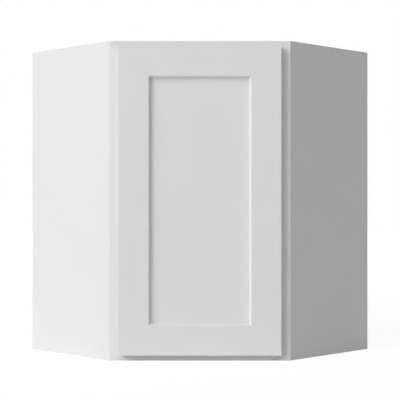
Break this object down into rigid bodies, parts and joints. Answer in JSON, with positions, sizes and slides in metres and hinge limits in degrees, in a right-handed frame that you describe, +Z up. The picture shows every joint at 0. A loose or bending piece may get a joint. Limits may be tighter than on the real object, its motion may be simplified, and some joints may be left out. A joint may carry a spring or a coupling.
{
  "type": "corner wall cabinet",
  "caption": "Diagonal corner wall cabinet with a plain framed door, face frame, painted ends, lift-off shelves and concealed hinges.",
  "frame": {"origin": "middle of the bounding box in plan, at the lower edge of the cabinet", "axes": "+X along the diagonal front, to the right of someone who faces the door; +Y from the door towards the corner of the room; +Z up"},
  "size_m": [0.8622, 0.6686, 0.762],
  "materials": {
    "white_paint": "satin white paint",
    "pale_wood": "clear satin lacquer on pale plywood",
    "nickel_steel": "nickel plate",
    "pin_steel": "nickel plate",
    "spring_steel": "plain",
    "bumper_rubber": "clear, soft"
  },
  "bodies": {
    "cabinet": {"back_panel_left": "pale_wood", "back_panel_right": "pale_wood", "bottom_panel": "pale_wood", "end_panel_left": "white_paint", "end_panel_right": "white_paint", "frame_rail_bottom": "white_paint", "frame_rail_top": "white_paint", "frame_stile_left": "white_paint", "frame_stile_right": "white_paint", "hanging_rail_lower_left": "pale_wood", "hanging_rail_lower_right": "pale_wood", "hanging_rail_upper_left": "pale_wood", "hanging_rail_upper_right": "pale_wood", "hinge_lower_adjusting_screw": "nickel_steel", "hinge_lower_arm": "nickel_steel", "hinge_lower_base": "nickel_steel", "hinge_lower_base_screw_lower": "nickel_steel", "hinge_lower_base_screw_upper": "nickel_steel", "hinge_upper_adjusting_screw": "nickel_steel", "hinge_upper_arm": "nickel_steel", "hinge_upper_base": "nickel_steel", "hinge_upper_base_screw_lower": "nickel_steel", "hinge_upper_base_screw_upper": "nickel_steel", "shelf_pin_lower_left_back": "pin_steel", "shelf_pin_lower_left_front": "pin_steel", "shelf_pin_lower_left_rear": "pin_steel", "shelf_pin_lower_right_back": "pin_steel", "shelf_pin_lower_right_front": "pin_steel", "shelf_pin_lower_right_rear": "pin_steel", "shelf_pin_upper_left_back": "pin_steel", "shelf_pin_upper_left_front": "pin_steel", "shelf_pin_upper_left_rear": "pin_steel", "shelf_pin_upper_right_back": "pin_steel", "shelf_pin_upper_right_front": "pin_steel", "shelf_pin_upper_right_rear": "pin_steel", "top_panel": "pale_wood"},
    "door": {"door_bumper_lower": "bumper_rubber", "door_bumper_upper": "bumper_rubber", "door_panel": "white_paint", "door_rail_bottom": "white_paint", "door_rail_top": "white_paint", "door_stile_hinge_side": "white_paint", "door_stile_latch_side": "white_paint", "hinge_lower_cup": "nickel_steel", "hinge_lower_cup_screw_lower": "nickel_steel", "hinge_lower_cup_screw_upper": "nickel_steel", "hinge_lower_pin": "nickel_steel", "hinge_lower_spring": "spring_steel", "hinge_upper_cup": "nickel_steel", "hinge_upper_cup_screw_lower": "nickel_steel", "hinge_upper_cup_screw_upper": "nickel_steel", "hinge_upper_pin": "nickel_steel", "hinge_upper_spring": "spring_steel"},
    "shelf_lower": {"shelf_lower": "pale_wood"},
    "shelf_upper": {"shelf_upper": "pale_wood"}
  },
  "joints": [
    {"name": "door_swing", "type": "hinge", "parent": "cabinet", "child": "door", "pos_m": [-0.18573, -0.32426, 0.1045], "axis": [0, 0, -1], "range_deg": [0, 105]},
    {"name": "shelf_lower_lift", "type": "slide", "parent": "cabinet", "child": "shelf_lower", "axis": [0, 0, 1], "range_m": [0, 0.12]},
    {"name": "shelf_upper_lift", "type": "slide", "parent": "cabinet", "child": "shelf_upper", "axis": [0, 0, 1], "range_m": [0, 0.12]}
  ]
}
